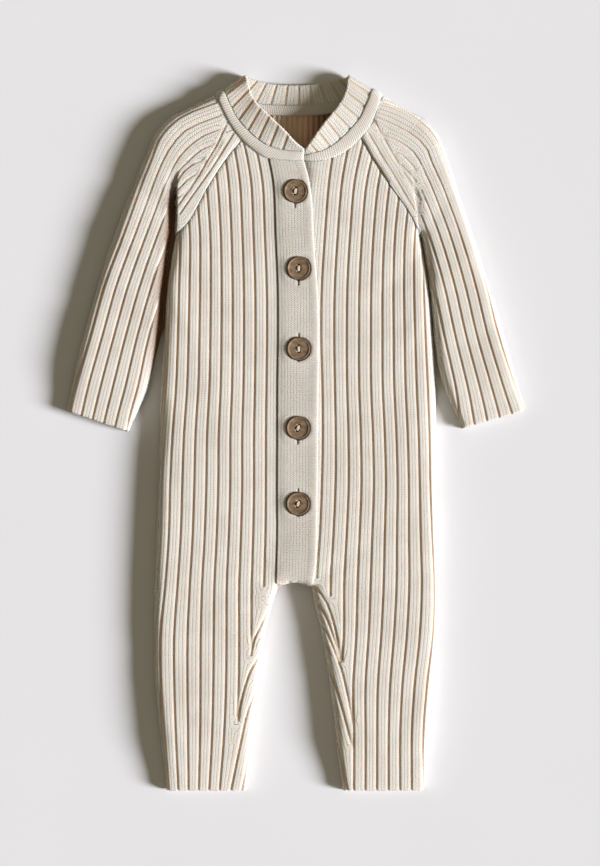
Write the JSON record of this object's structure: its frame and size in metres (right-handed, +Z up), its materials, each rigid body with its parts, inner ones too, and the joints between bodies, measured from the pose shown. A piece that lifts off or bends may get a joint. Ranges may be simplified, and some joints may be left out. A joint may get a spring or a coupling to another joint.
{
  "type": "baby romper",
  "caption": "Long-sleeved rib-knit baby romper laid flat, with raglan sleeves, a standing ribbed collar, a plain-knit button band and open leg hems.",
  "frame": {"origin": "on the surface it lies on, under the middle of its bounding box", "axes": "+Z up from the surface, +Y from the leg hems to the collar, +X to the viewer's right with the front up"},
  "size_m": [0.352, 0.5491, 0.0209],
  "materials": {
    "rib_knit": "thick wide-rib knit, soft matt yarn",
    "plain_knit": "plain knit, soft matt yarn",
    "button_brown": "satin, marbled brown"
  },
  "bodies": {
    "root": {"back": "rib_knit", "front_left": "rib_knit", "front_right": "rib_knit", "sleeve_left": "rib_knit", "sleeve_right": "rib_knit", "collar": "rib_knit", "neck_band": "plain_knit", "placket_top": "plain_knit", "placket_under": "plain_knit", "button_1": "button_brown", "button_2": "button_brown", "button_3": "button_brown", "button_4": "button_brown", "button_5": "button_brown"}
  },
  "joints": []
}
